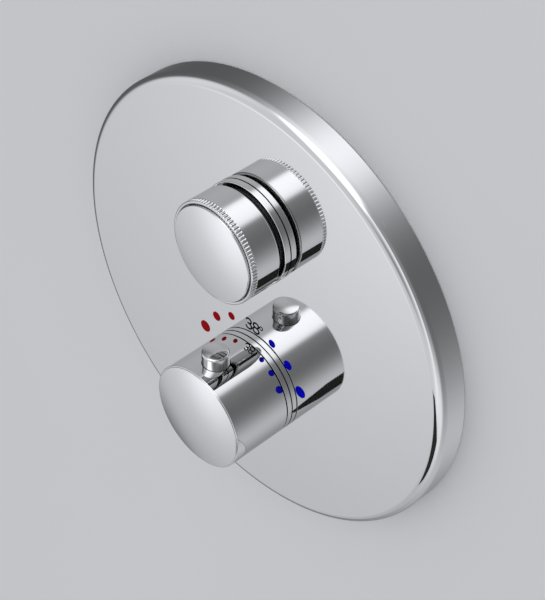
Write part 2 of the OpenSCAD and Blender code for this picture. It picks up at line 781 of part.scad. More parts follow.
// The thermostat's housing: hexagon guide, mixed, cold and hot windows, and grooves for its rings
housing_cord = 1.8;
housing_ring_r = chamber_d / 2 - fit - housing_cord / 2;
housing_ring_back = 4;
mixed_window = 6;
supply_window = 4;
housing_ring_ys = [
    chamber_y + housing_ring_back,
    (mixed_y + mixed_window / 2 + cold_y - supply_window / 2) / 2,
    pipe_depth
];
guide_run = 1;
guide_end_y = carrier_y + carrier_l + guide_run;
seat_w = 1.5;
window_widths = [mixed_window, supply_window, supply_window];
window_ys = [mixed_y, cold_y, hot_y];
end_cap_y = shuttle_y + shuttle_l + seat_gap_hot;
cold_seat_y = shuttle_y - seat_gap_cold;
module thermostat_housing() color(grey) {
    r = cartridge_d / 2;
    seat_r = shuttle_d / 2 - seat_w;
    difference() {
        turned(temp_z) difference() {
            union() {
                band(0, nose_d / 2, nose_y, chamber_y);
                band(0, r, chamber_y, temp_floor_y - free_fit);
            }
            band(0, shaft_d / 2 + fit, nose_y - over, temp_floor_y);
            band(0, thrust_d / 2 + free_fit, chamber_y, carrier_y);
            band(0, seat_r, guide_end_y, temp_floor_y);
            band(0, shuttle_d / 2 + fit, cold_seat_y, temp_floor_y);
            for (y = housing_ring_ys)
                band(housing_ring_r - housing_cord / 2 - fit, 2 * r, y - groove_share * housing_cord,
                    y + groove_share * housing_cord);
            for (i = [0 : 2])
                band(r - annulus_depth, 2 * r, window_ys[i] - window_widths[i] / 2,
                    window_ys[i] + window_widths[i] / 2);
        }
        along_y(carrier_y - over, guide_end_y + over, temp_z)
            circle(d = (carrier_af + free_fit) / cos(30), $fn = 6);
        for (i = [0 : 2], a = [0 : 45 : 315])
            translate([0, window_ys[i], temp_z]) rotate([0, a, 0])
                cylinder(d = window_widths[i] - free_fit, h = cartridge_d);
    }
}
module thermostat_housing_rings() color(black) turned(temp_z)
    for (y = housing_ring_ys)
        cord_profile(housing_cord, housing_ring_r, y);

// The carrier: a hexagon that can't turn, so the spindle's thread moves it in and out
module thermostat_carrier() color(brass) {
    difference() {
        along_y(carrier_y, carrier_y + carrier_l, temp_z) circle(d = carrier_af / cos(30), $fn = 6);
        bar(rod_d + 2 * fit, carrier_y - over, carrier_y + carrier_l, temp_z);
        bar(spring_bore_d, carrier_y + carrier_wall, carrier_y + carrier_l + over, temp_z);
    }
}
overload_wire = 1.2;
overload_y = carrier_y + carrier_wall;
overload_l = 5.4;
module overload_spring() color(steel)
    translate([0, overload_y, temp_z]) rotate([-90, 0, 0])
        spring(spring_bore_d - free_fit - 1.5 * overload_wire, overload_wire, overload_l, 3);
plunger_y = overload_y + overload_l;
plunger_t = 1.6;
module overload_plunger() color(steel) turned(temp_z) {
    band(0, spring_bore_d / 2 - close_fit, plunger_y, plunger_y + plunger_t);
    band(0, pin_d / 2, plunger_y, element_y + pin_depth - pin_gap);
}

// The wax element: it grows as the mixed water warms, and pushes the sliding sleeve towards the hot seat
module wax_element() color(brass) turned(temp_z) difference() {
    union() {
        band(0, element_d / 2, element_y, element_y + element_l);
        band(0, element_d / 2 + element_rim, element_y, element_y + element_rim_l);
    }
    band(0, pin_d / 2 + fit, element_y - over, element_y + pin_depth);
}
module thermostat_shuttle() color(steel) {
    r = shuttle_d / 2;
    hub_r = element_d / 2 + hub_wall;
    middle_y = shuttle_y + (shuttle_l - spider_t) / 2;
    ports_r = (hub_r + r - hub_wall) / 2;
    difference() {
        turned(temp_z) {
            band(r - hub_wall, r, shuttle_y, shuttle_y + shuttle_l);
            band(element_d / 2, r, middle_y, middle_y + spider_t);
            band(element_d / 2, hub_r, shuttle_y, shuttle_y + shuttle_l);
        }
        for (a = [0 : 60 : 300])
            translate([ports_r * cos(a), middle_y - over, temp_z + ports_r * sin(a)])
                rotate([-90, 0, 0]) cylinder(d = r - hub_wall - hub_r - close_fit, h = spider_t + 2 * over);
    }
}
return_wire = 1.1;
return_d = 14.6;
cap_wall = 2.4;
cap_floor_t = 2.8;
cap_rear_y = temp_floor_y - free_fit;
module thermostat_end_cap() color(grey) turned(temp_z) {
    r = shuttle_d / 2 + fit;
    band(r - cap_wall, r, end_cap_y, cap_rear_y);
    band(0, r, cap_rear_y - cap_floor_t, cap_rear_y);
}
module return_spring() color(steel)
    translate([0, shuttle_y + shuttle_l, temp_z]) rotate([-90, 0, 0])
        spring(return_d, return_wire, cap_rear_y - cap_floor_t - shuttle_y - shuttle_l, 3);

// A rectangle with round corners
module rounded_rectangle(w, h, corner) {
    square([w - 2 * corner, h], center = true);
    square([w, h - 2 * corner], center = true);
    for (sx = [-1, 1], sy = [-1, 1])
        translate([sx * (w / 2 - corner), sy * (h / 2 - corner)]) circle(r = corner);
}

// Hexagons at the mouths of the four pipe bosses, for the spanner that holds the body
module pipe_hexagons(flow_top, temp_bottom) {
    for (s = [-1, 1])
        translate([s * (inlet_reach - boss_hex_l), pipe_depth, temp_z]) rotate([0, s * 90, 0])
            hexagon(boss_af, boss_hex_l);
    translate([0, pipe_depth, flow_top - boss_hex_l]) hexagon(boss_af, boss_hex_l);
    translate([0, pipe_depth, temp_bottom + boss_hex_l]) rotate([180, 0, 0])
        hexagon(boss_af, boss_hex_l);
}

// Webs that stiffen both inlets against the pull of their pipes
module gussets() {
    end_x = inlet_reach - boss_hex_l - over;
    for (s = [-1, 1])
        along_y(pipe_depth - gusset_t / 2, pipe_depth + gusset_t / 2, temp_z) polygon([
            [0, 0], [s * end_x, 0], [s * end_x, over - boss_d / 2], [s * pad_h, -gusset_h], [0, -gusset_h]
        ]);
}

// The body: one brass casting with two chambers, four pipe bosses and a rear channel
module mixer_body() color(brass) {
    flow_rear = pipe_depth + port_d + bore_cover;
    flow_top = flow_z + shower_reach;
    temp_bottom = temp_z - bath_reach;
    difference() {
        union() {
            for (z = [flow_z, temp_z])
                bevelled_bar(neck_d, neck_y, barrel_y + barrel_chamfer, neck_chamfer, z);
            bevelled_bar(barrel_d, barrel_y, flow_rear, barrel_chamfer, flow_z);
            bevelled_bar(barrel_d, barrel_y, temp_floor_y + chamber_wall, barrel_chamfer, temp_z);
            bar_x(boss_d, -inlet_reach + over, inlet_reach - over, pipe_depth, temp_z);
            bar_z(boss_d, flow_z, flow_top - over, pipe_depth);
            bar_z(boss_d, temp_bottom + over, temp_z, pipe_depth);
            pipe_hexagons(flow_top, temp_bottom);
            gussets();
            bar_z(channel_d, channel_end, channel_top + channel_d / 2 + channel_stub, channel_y);
            bar(channel_d, flow_rear - over, channel_y, channel_top);
            bar(channel_d, pipe_depth, channel_y, channel_low);
            translate([-pad_h, mixed_y - pad_h / 2, temp_z])
                cube([2 * pad_h, flow_rear - mixed_y + pad_h / 2, knob_spacing]);
            for (s = [-1, 1])
                along_y(flow_rear - over, back_y, s * pad_z) rounded_rectangle(pad_w, pad_h, pad_corner);
        }
        for (z = [flow_z, temp_z]) bar(thread_d, neck_y - over, chamber_y, z);
        bar(chamber_d, neck_y, flow_floor_y, flow_z);
        bar(chamber_d, neck_y, temp_floor_y, temp_z);
        bar_z(mix_bore_d, temp_z, flow_z, mixed_y);
        // Inlets: tapped bore, seat for the check valve, and a feed to its own window
        for (s = [-1, 1]) translate([0, 0, temp_z]) rotate([0, s > 0 ? 0 : 180, 0])
            translate([0, 0, -temp_z]) {
                bar_x(tapping_d, inlet_reach - tapping_l, inlet_reach + over, pipe_depth, temp_z);
                bar_x(filter_d, inlet_reach - tapping_l - filter_t, inlet_reach, pipe_depth, temp_z);
                bar_x(check_bore_d, check_x0, inlet_reach, pipe_depth, temp_z);
                bar_x(feed_d, chamber_d / 4, check_x0 + over, s > 0 ? cold_y : hot_y, temp_z);
            }
        // Shower outlet at the top
        bar_z(tapping_d, flow_top - tapping_l, flow_top + over, pipe_depth);
        bar_z(channel_bore_d, flow_z + port_offset, flow_top, pipe_depth);
        bar(port_d, flow_floor_y - over, pipe_depth, flow_z + port_offset);
        // Bath outlet at the bottom, fed by the channel behind the thermostat
        bar_z(tapping_d, temp_bottom - over, temp_bottom + tapping_l, pipe_depth);
        bar_z(channel_bore_d, temp_bottom, channel_low, pipe_depth);
        bar(port_d, flow_floor_y - over, channel_y, channel_top);
        bar_z(channel_bore_d, channel_end - over, channel_top, channel_y);
        bar(channel_bore_d, pipe_depth, channel_y, channel_low);
        for (s = [-1, 1], x = [-bracket_screw_x, bracket_screw_x])
            bar(bracket_screw_d, back_y - bracket_screw_l + bracket_t, back_y + over, s * pad_z, x);
    }
}

// The blanking plug that closes the drilled end of the rear channel
plug_l = 6;
plug_head_l = 2;
plug_head_gap = 1;
plug_key_d = 6;
module channel_plugs() color(brass) {
    difference() {
        union() {
            bar_z(channel_bore_d, channel_end, channel_end + plug_l, channel_y);
            bar_z(channel_d - 2 * plug_head_gap, channel_end - plug_head_l, channel_end, channel_y);
        }
        translate([0, channel_y, channel_end - plug_head_l - over])
            cylinder(d = plug_key_d, h = plug_head_l + over, $fn = 6);
    }
}

// Check valves in both inlets: housing, sprung poppet and a strainer in front
check_x1 = inlet_reach - tapping_l - filter_t;
check_x0 = check_x1 - check_l;
seat_x = check_x1 - check_seat_t;
module to_inlet(s) {
    translate([0, pipe_depth, temp_z]) rotate([0, s * 90, 0]) children();
}
module check_valve_housings() color(grey) for (s = [-1, 1]) to_inlet(s) {
    difference() {
        rotate_extrude() {
            band(check_d / 2 - check_wall, check_d / 2, check_x0, check_x1);
            band(poppet_d / 2 - check_wall, check_d / 2, seat_x, check_x1);
            band(stem_d / 2 + close_fit, check_d / 2, check_x0, check_x0 + check_spider_t);
        }
        for (a = [0 : 60 : 300]) rotate([0, 0, a])
            translate([(check_d - check_port_d) / 2 - 2 * check_wall, 0, check_x0 - over])
                cylinder(d = check_port_d, h = check_spider_t + 2 * over);
    }
}
module check_poppet(s) to_inlet(s) rotate_extrude() {
    band(0, poppet_d / 2, seat_x - poppet_t, seat_x);
    band(0, stem_d / 2, check_x0 + stroke + free_fit, seat_x - poppet_t);
}
module hot_check_poppet() color(black) check_poppet(-1);
module cold_check_poppet() color(black) check_poppet(1);
check_wire = 0.5;
module check_spring(s) to_inlet(s) translate([0, 0, check_x0 + check_spider_t])
    spring(poppet_d - 4 * check_wire, check_wire, seat_x - poppet_t - check_x0 - check_spider_t, 3);
module hot_check_spring() color(steel) check_spring(-1);
module cold_check_spring() color(steel) check_spring(1);
module inlet_filters() color(steel) for (s = [-1, 1]) to_inlet(s)
    difference() {
        translate([0, 0, check_x1]) cylinder(d = filter_d - 2 * close_fit, h = filter_t - free_fit);
        for (i = [-2 : 2], j = [-2 : 2]) if (i * i + j * j < 6)
            translate([i * filter_d / 7, j * filter_d / 7, check_x1 - over])
                cylinder(d = filter_d / 9, h = filter_t + 2 * over, $fn = 16);
    }

// A countersunk screw head, flush with the back of the bracket
head_l = bracket_screw_d / 2;
module countersunk(sx, sz) {
    translate([sx * bracket_screw_x, back_y + bracket_t - head_l, sz * pad_z]) rotate([-90, 0, 0])
        cylinder(d1 = bracket_screw_d, d2 = 2 * bracket_screw_d, h = head_l);
}

// The pressed steel bracket that carries the body in the wall, with four folded flanges
bracket_corner = 8;
fold_r = bracket_t + 1.5;
fold_z = bracket_h / 2 - fold_r;
flange_x0 = pad_w / 2 + 4;
flange_x1 = bracket_w / 2 - bracket_corner - 2;
relief_w = 1.5;
module fold_profile() {
    translate([back_y + bracket_t - fold_r, fold_z]) {
        intersection() {
            difference() {
                circle(r = fold_r);
                circle(r = fold_r - bracket_t);
            }
            square(fold_r);
        }
        translate([fold_r - bracket_t, -over]) square([bracket_t, over]);
        translate([fold_r - bracket_flange_l, fold_r - bracket_t])
            square([bracket_flange_l - fold_r, bracket_t]);
    }
}
module each_flange()
    for (sx = [0, 1], sz = [0, 1])
        mirror([sx, 0, 0]) mirror([0, 0, sz]) translate([flange_x0, 0, 0]) children();
module wall_bracket() color(steel) {
    difference() {
        along_y(back_y, back_y + bracket_t) rounded_rectangle(bracket_w, bracket_h, bracket_corner);
        for (sx = [-1, 1], sz = [-1, 1]) {
            bar(fixing_d, back_y - over, back_y + bracket_t + over, sz * fixing_h / 2, sx * fixing_w / 2);
            bar(bracket_screw_d, back_y - over, back_y + bracket_t, sz * pad_z, sx * bracket_screw_x);
            countersunk(sx, sz);
        }
        each_flange() translate([-relief_w, back_y - over, fold_z])
            cube([flange_x1 - flange_x0 + 2 * relief_w, bracket_t + 2 * over, fold_r + over]);
    }
    each_flange() rotate([90, 0, 90]) linear_extrude(height = flange_x1 - flange_x0) fold_profile();
}
module bracket_screws() color(steel) for (sx = [-1, 1], sz = [-1, 1])
    difference() {
        union() {
            bar(bracket_screw_d, back_y - bracket_screw_l + bracket_t + over, back_y + bracket_t - head_l,
                sz * pad_z, sx * bracket_screw_x);
            countersunk(sx, sz);
        }
        translate([sx * bracket_screw_x, back_y + bracket_t - head_l / 2, sz * pad_z])
            rotate([-90, 0, 0]) cylinder(d = bracket_screw_d, h = bracket_screw_d, $fn = 6);
    }

cover_plate();
plate_seal();
flow_sleeve();
flow_sleeve_ring();
flow_knob();
flow_knob_disc();
flow_knob_screw();
flow_driver();
flow_stop_ring();
diverter_spindle();
diverter_spindle_rings();
diverter_nut();
diverter_housing();
diverter_turning_disc();
diverter_fixed_disc();
diverter_seal();
temp_sleeve();
temp_sleeve_ring();
temp_knob();
temp_knob_disc();
temp_knob_screw();
temp_driver();
temp_stop_ring();
safety_button();
button_catch();
button_spring();
thermostat_spindle();
thermostat_spindle_rings();
thermostat_nut();
thermostat_housing();
thermostat_housing_rings();
thermostat_carrier();
overload_spring();
overload_plunger();
wax_element();
thermostat_shuttle();
return_spring();
thermostat_end_cap();
mixer_body();
channel_plugs();
check_valve_housings();
hot_check_poppet();
cold_check_poppet();
hot_check_spring();
cold_check_spring();
inlet_filters();
wall_bracket();
bracket_screws();
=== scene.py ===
import math

import bmesh
import bpy
from mathutils import Matrix, Vector


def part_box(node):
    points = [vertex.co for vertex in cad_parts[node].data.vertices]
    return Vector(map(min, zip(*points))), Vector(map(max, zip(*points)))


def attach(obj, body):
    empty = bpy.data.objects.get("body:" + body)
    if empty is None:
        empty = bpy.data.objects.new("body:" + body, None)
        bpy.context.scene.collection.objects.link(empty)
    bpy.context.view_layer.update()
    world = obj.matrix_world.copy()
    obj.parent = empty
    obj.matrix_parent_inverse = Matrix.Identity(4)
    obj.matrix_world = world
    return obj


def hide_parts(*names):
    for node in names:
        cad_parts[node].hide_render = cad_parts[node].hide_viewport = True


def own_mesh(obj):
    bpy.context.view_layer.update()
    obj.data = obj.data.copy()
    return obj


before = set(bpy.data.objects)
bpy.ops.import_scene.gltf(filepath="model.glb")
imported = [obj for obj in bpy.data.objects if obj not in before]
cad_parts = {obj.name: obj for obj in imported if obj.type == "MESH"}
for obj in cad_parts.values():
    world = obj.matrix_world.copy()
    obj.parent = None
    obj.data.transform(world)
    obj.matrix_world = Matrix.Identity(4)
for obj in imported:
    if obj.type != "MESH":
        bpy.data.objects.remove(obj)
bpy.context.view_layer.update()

# The camera looks down at the mixer from the front right, from 0.7 m away. It is aimed at the
# middle of the plate's rim, and the shift sets that point a little off the picture's middle.
camera_azimuth = math.radians(45.58)
camera_elevation = math.radians(40.56)
camera_distance = 0.697
towards_camera = Vector((
    math.sin(camera_azimuth) * math.cos(camera_elevation),
    -math.cos(camera_azimuth) * math.cos(camera_elevation),
    math.sin(camera_elevation),
))
camera = bpy.data.objects.new("camera", bpy.data.cameras.new("camera"))
camera.location = camera_distance * towards_camera
camera.rotation_euler = (-towards_camera).to_track_quat("-Z", "Y").to_euler()
camera.data.sensor_width = 36
camera.data.lens = 104.08
camera.data.shift_x = -0.005
camera.data.shift_y = -0.0115
camera.data.clip_start = 0.01
bpy.context.scene.collection.objects.link(camera)
bpy.context.scene.camera = camera
bpy.context.scene.view_settings.view_transform = "Standard"


# The studio round the mixer. Polished metal mirrors a bright box overhead, a pale wall in front, a
# soft panel low on the left, sides that are darkest at the right, and two glows behind. All other
# light is even and pale, and what lies past the plaster is as pale as the plaster.
MM = 0.001


class Wire:
    """One output in a node tree. Sums on it become Math nodes."""

    def __init__(self, nodes, socket):
        self.nodes, self.socket = nodes, socket

    def math(self, operation, *values):
        return self.nodes.add("ShaderNodeMath", {"operation": operation}, dict(enumerate(values)))

    def __add__(self, other):
        return self.math("ADD", self, other)

    def __sub__(self, other):
        return self.math("SUBTRACT", self, other)

    def __rsub__(self, other):
        return self.math("SUBTRACT", other, self)

    def __mul__(self, other):
        return self.math("MULTIPLY", self, other)

    def __truediv__(self, other):
        return self.math("DIVIDE", self, other)

    def __rtruediv__(self, other):
        return self.math("DIVIDE", other, self)

    def __pow__(self, other):
        return self.math("POWER", self, other)

    def __gt__(self, other):
        return self.math("GREATER_THAN", self, other)

    def __lt__(self, other):
        return self.math("LESS_THAN", self, other)

    __radd__, __rmul__ = __add__, __mul__

    def __abs__(self):
        return self.math("ABSOLUTE", self)

    def exp(self):
        return self.math("EXPONENT", self)

    def sin(self):
        return self.math("SINE", self)

    def most(self, other):
        return self.math("MAXIMUM", self, other)


class Nodes:
    """The node tree of a material or of the world."""

    def __init__(self, owner):
        owner.use_nodes = True
        self.tree = owner.node_tree
        self.tree.nodes.clear()

    def add(self, kind, settings=None, inputs=None, output=0):
        """One node: its settings first, then the values or links of its sockets."""
        node = self.tree.nodes.new(kind)
        for name, value in (settings or {}).items():
            setattr(node, name, value)
        for socket, value in (inputs or {}).items():
            if isinstance(value, Wire):
                self.tree.links.new(value.socket, node.inputs[socket])
            elif value is not None:
                node.inputs[socket].default_value = value
        return Wire(self, node.outputs[output]) if node.outputs else None

    def split(self, vector):
        """The x, y and z of a vector."""
        x = self.add("ShaderNodeSeparateXYZ", None, {0: vector})
        return [Wire(self, x.socket.node.outputs[k]) for k in range(3)]

    def mix(self, share, first, second):
        """Blends two colours."""
        settings = {"data_type": "RGBA", "clamp_factor": True}
        return self.add("ShaderNodeMix", settings, {0: share, 6: first, 7: second}, 2)

    def noise(self, where, size_mm, detail=2.0, roughness=0.5):
        """Soft noise from 0 to 1 with patches about size_mm across."""
        return self.add("ShaderNodeTexNoise", {"noise_dimensions": "3D"}, {
            "Vector": where, "Scale": 1 / (size_mm * MM), "Detail": detail, "Roughness": roughness})

    def bump(self, strength, depth_mm, height, under=None):
        """A normal that raises the surface by up to depth_mm, over another normal."""
        return self.add("ShaderNodeBump", None, {
            "Strength": strength, "Distance": depth_mm * MM, "Height": height, "Normal": under})

    def soft_edge(self, radius_mm):
        """A normal that rounds sharp edges by that radius."""
        return self.add("ShaderNodeBevel", {"samples": 6}, {"Radius": radius_mm * MM})


def grey(r, g=None, b=None):
    """A colour with its alpha; one number gives a grey."""
    return (r, r if g is None else g, r if b is None else b, 1.0)


world = bpy.data.worlds.new("studio")
bpy.context.scene.world = world
sky = Nodes(world)
x, y, z = sky.split(sky.add("ShaderNodeTexCoord"))
aside = (x * x + z * z) ** 0.5 + 0.0001


def facing(angle):
    """Cosine of the turn round the mixer's axis from a direction at that angle above the right."""
    a = math.radians(angle)
    return (x * math.cos(a) + z * math.sin(a)) / aside


def glow(angle, strength, sharpness):
    """Light that fades on both sides of such a direction."""
    return strength * (sharpness * (facing(angle) - 1)).exp()


def patch(across, up, strength, narrow, low):
    """A soft oval patch of light, smaller as narrow and low grow."""
    return strength * (-narrow * across * across - low * up * up).exp()


def step(value, middle, sharpness):
    """A soft step from 0 to 1."""
    return 1 / (1 + (sharpness * (middle - value)).exp())


# The wall in front is dimmer at its middle, and paler in a ring round that on the right.
front = (-1 * y).most(0.05)
dim_middle = 0.6 * (33 * (0.22 * x - 0.975 * y - 1)).exp()
off_ring = front - 0.75
pale_ring = 0.42 * (-120 * off_ring * off_ring).exp() * step(x, 0.15, 14)
in_front = 0.95 + pale_ring - dim_middle
sides = 0.645 - 0.445 * facing(-15) + glow(-44, 0.98, 4.4)
behind = 0.155 + glow(89, 1.36, 7.15) + glow(-65, 0.643, 3.72)
overhead_box = 1.94 * step(facing(89), 0.904, 46) * step(aside, 0.44, 20)

# The panel hangs square to the direction from which it is seen; the floor's glow is seen past it.
ahead = (-0.551 * x - 0.521 * y - 0.652 * z).most(0.1)
panel_across = (0.727 * y - 0.687 * x) / ahead + 0.151
panel_up = (0.759 * z - 0.473 * x - 0.448 * y) / ahead - 0.174
low_panel = patch(panel_across, panel_up, 0.59, 44.5, 21.5)
floor_glow = patch(x / front + 1.46, z / front + 3.66, 0.65, 1.65, 1.65)

front_share, room_share = step(front, 0.686, 60), step(-1 * y, 0.283, 18)
room = sides * (1 - front_share) + in_front * front_share + overhead_box
seen_in_metal = behind * (1 - room_share) + (room + floor_glow) * room_share + low_panel

rays = sky.add("ShaderNodeLightPath")
is_camera, is_glossy, is_transmission = [
    Wire(sky, rays.socket.node.outputs[name])
    for name in ("Is Camera Ray", "Is Glossy Ray", "Is Transmission Ray")
]
in_metal = is_glossy.most(is_transmission)
even_light = 0.88
plain = is_camera + (1 - is_camera) * even_light
strength = plain * (1 - in_metal) + seen_in_metal * in_metal
daylight, backdrop = grey(0.988, 1.0, 1.045), grey(0.54, 0.547, 0.572)
tint = sky.mix(is_camera, daylight, backdrop)
background = sky.add("ShaderNodeBackground", None, {"Color": tint, "Strength": strength})
sky.add("ShaderNodeOutputWorld", None, {"Surface": background})


def lamp(name, place, aim, size, power):
    """A soft square lamp that polished metal doesn't see: the studio above is what it sees."""
    light = bpy.data.lights.new(name, "AREA")
    light.energy, light.size = power, size
    holder = bpy.data.objects.new(name, light)
    holder.location = place
    holder.rotation_euler = (Vector(aim) - Vector(place)).to_track_quat("-Z", "Y").to_euler()
    holder.visible_glossy = False
    bpy.context.scene.collection.objects.link(holder)


lamp("key_lamp", (0.9, -1.3, 1.5), (0, 0, 0), size=1.6, power=8)
lamp("fill_lamp", (-0.8, -1.4, -1.3), (0, 0, 0), size=2.4, power=3)
lamp("rear_lamp", (-0.8, 1.6, 1.2), (0, 0.05, 0), size=1.4, power=24)


# The wall that the mixer is set in: pale smooth plaster, with the round chase behind the plate cut
# out of it. A dark card that lies low on the right, seen by polished metal alone, gives rounded
# edges their dark line.
def new_object(name, mesh):
    """Puts a mesh in the scene."""
    thing = bpy.data.objects.new(name, mesh)
    bpy.context.scene.collection.objects.link(thing)
    return thing


def principled(nodes, colour, roughness, metallic=0.0, normal=None, **more):
    """The surface of every piece: one Principled shader."""
    inputs = {"Base Color": colour, "Roughness": roughness, "Metallic": metallic, "Normal": normal}
    inputs.update({name.replace("_", " "): value for name, value in more.items()})
    shader = nodes.add("ShaderNodeBsdfPrincipled", None, inputs)
    nodes.add("ShaderNodeOutputMaterial", None, {"Surface": shader})


def new_surface(name):
    """A material, its nodes, and the place on the piece that its detail follows."""
    material = bpy.data.materials.new(name)
    n = Nodes(material)
    return material, n, n.add("ShaderNodeTexCoord", output="Object")


def plaster():
    """Smooth gypsum plaster, painted a matt pale grey."""
    material, n, where = new_surface("pale_plaster")
    colour = n.mix(n.noise(where, 180), grey(0.529, 0.531, 0.532), grey(0.549, 0.551, 0.552))
    principled(n, colour, 0.75, normal=n.bump(0.05, 0.2, n.noise(where, 4)))
    return material


wall_half, chase_radius, chase_steps = 0.9, 0.088, 96
wall_corners = (-1, -1), (1, -1), (1, 1), (-1, 1)
wall_points = [(across * wall_half, 0, up * wall_half) for across, up in wall_corners]
for k in range(chase_steps):
    a = math.tau * k / chase_steps
    wall_points.append((chase_radius * math.cos(a), 0, chase_radius * math.sin(a)))
wall_mesh = bmesh.new()
corners = [wall_mesh.verts.new(p) for p in wall_points]
for loop in (corners[:4], corners[4:]):
    for k, corner in enumerate(loop):
        wall_mesh.edges.new((corner, loop[(k + 1) % len(loop)]))
bmesh.ops.triangle_fill(wall_mesh, edges=wall_mesh.edges[:], use_beauty=True)
wall_data = bpy.data.meshes.new("wall")
wall_mesh.to_mesh(wall_data)
wall_mesh.free()
wall = new_object("wall", wall_data)
wall.visible_glossy = False
wall_data.materials.append(plaster())

card_outline = [(0.05, -0.15), (0.1, -0.139), (0.138, -0.147), (0.2, -0.2), (0.165, -0.26),
                (0.09, -0.345), (0.0, -0.31), (-0.005, -0.25), (0.03, -0.2)]
card_height, card_light = -0.24, 0.035
card_points = [(across, out, card_height) for across, out in card_outline]
card_data = bpy.data.meshes.new("dark_card")
card_data.from_pydata(card_points, [], [range(len(card_points))])
dark_card = new_object("dark_card", card_data)
dark_card.visible_camera = dark_card.visible_diffuse = dark_card.visible_shadow = False
card_material = bpy.data.materials.new("dark_card")
principled(Nodes(card_material), grey(0.0), 1.0, Specular_IOR_Level=0.0,
           Emission_Color=grey(1.0), Emission_Strength=card_light)
card_data.materials.append(card_material)


# The wall bracket: a zinc-plated steel pressing with folded flanges, rounded corners and four
# fixing holes. Four countersunk screws hold the casting to it from behind.
def finish(material, *names):
    """Gives CAD pieces their finish."""
    for name in names:
        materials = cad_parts[name].data.materials
        materials.clear()
        materials.append(material)


def zinc():
    """Bright zinc plate with the faint crystal patches and scuffs of a pressed part."""
    material, n, where = new_surface("zinc_plate")
    cells = {"Vector": where, "Scale": 220.0}
    crystals = n.add("ShaderNodeTexVoronoi", {"feature": "F1"}, cells, "Color")
    patch_tone = n.split(crystals)[0]
    scuff = n.noise(where, 3, 6, 0.7)
    colour = n.mix(patch_tone, grey(0.50, 0.52, 0.54), grey(0.62, 0.64, 0.66))
    rough = 0.28 + 0.14 * patch_tone + 0.12 * scuff
    principled(n, colour, rough, 1.0, n.bump(0.25, 0.05, scuff, n.soft_edge(0.4)))
    return material


def steel():
    """Stainless steel as turned or drawn: clean, with fine lines round its length."""
    material, n, where = new_surface("stainless_steel")
    fine = n.noise(where, 0.25, 3)
    cloud = n.noise(where, 5, 2)
    colour = n.mix(cloud, grey(0.52, 0.52, 0.51), grey(0.64, 0.64, 0.63))
    rough = 0.2 + 0.12 * fine + 0.06 * cloud
    principled(n, colour, rough, 1.0, n.bump(0.2, 0.02, fine, n.soft_edge(0.12)))
    return material


stainless = steel()
finish(zinc(), "wall_bracket")
finish(stainless, "bracket_screws")


# The body: one sand casting in dezincification-resistant brass. The skin keeps the grain of the
# sand, while the bores, the pipe faces and the two threaded necks are machined bright.
def rings_round(y, pitch_mm):
    """The fine rings that a lathe tool leaves, from 0 to 1, along the mixer's depth."""
    return (y * (math.tau / (pitch_mm * MM))).sin() * 0.5 + 0.5


def cast_brass(side_face, top_face, bottom_face, neck_rear):
    """Sand-cast brass with a grainy brown skin, cut bright at the pipe faces and the necks."""
    material, n, where = new_surface("cast_brass")
    x, y, z = n.split(where)
    grain = n.noise(where, 0.55, 5, 0.65)
    cloud = n.noise(where, 16, 4, 0.6)
    near = 0.1 * MM
    machined = (abs(x) > side_face - near).most(z > top_face - near).most(z < bottom_face + near)
    machined = machined.most(y < neck_rear)
    skin = n.mix(cloud, grey(0.40, 0.265, 0.10), grey(0.56, 0.395, 0.17))
    fresh = n.mix(grain, grey(0.66, 0.49, 0.22), grey(0.74, 0.56, 0.27))
    height = grain * (1 - machined) + rings_round(y, 0.35) * machined * 0.12
    rough = (0.42 + 0.2 * grain) * (1 - machined) + (0.22 + 0.1 * grain) * machined
    bump = n.bump(0.55, 0.12, height, n.soft_edge(0.8))
    principled(n, n.mix(machined, skin, fresh), rough, 1.0, bump)
    return material


def turned_brass():
    """Brass turned on a lathe: bright, with fine rings and a little dulling."""
    material, n, where = new_surface("turned_brass")
    rings = rings_round(n.split(where)[1], 0.22)
    cloud = n.noise(where, 7, 3)
    colour = n.mix(cloud, grey(0.62, 0.455, 0.20), grey(0.75, 0.575, 0.28))
    rough = 0.18 + 0.1 * cloud + 0.06 * rings
    principled(n, colour, rough, 1.0, n.bump(0.2, 0.01, rings, n.soft_edge(0.2)))
    return material


body_low, body_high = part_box("mixer_body")
neck_end = 8 * MM
finish(cast_brass(body_high.x, body_high.z, body_low.z, neck_end), "mixer_body")
lathe_brass = turned_brass()
finish(lathe_brass, "channel_plugs")


# The check valves in both inlets: moulded housings, in which a spring wound from stainless wire
# shuts a black poppet, behind a strainer of perforated stainless sheet that keeps grit out.
def deeper(colour, share):
    """The same colour, darkened to that share."""
    return grey(*(share * c for c in colour[:3]))


def moulded(name, colour, rough):
    """Moulded plastic: even colour with a fine spark-eroded grain and soft edges."""
    material, n, where = new_surface(name)
    grain = n.noise(where, 0.18, 2)
    flow_lines = n.noise(where, 12, 3)
    tone = n.mix(flow_lines, deeper(colour, 0.86), colour)
    bump = n.bump(0.25, 0.03, grain, n.soft_edge(0.25))
    principled(n, tone, rough + 0.12 * grain, 0.0, bump)
    return material


grey_plastic = moulded("grey_acetal", grey(0.27, 0.28, 0.30), 0.36)
black_plastic = moulded("black_acetal", grey(0.018, 0.018, 0.02), 0.34)
finish(grey_plastic, "check_valve_housings")
finish(black_plastic, "hot_check_poppet", "cold_check_poppet")
finish(stainless, "inlet_filters")


def dressed(piece, material, body, node):
    """Finishes a piece that stands for a CAD piece."""
    piece.data.materials.append(material)
    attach(piece, body)
    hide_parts(node)


wire_width, spring_travel = 0.5 * MM, 2.5 * MM
rings_per_turn, wire_sides = 32, 10


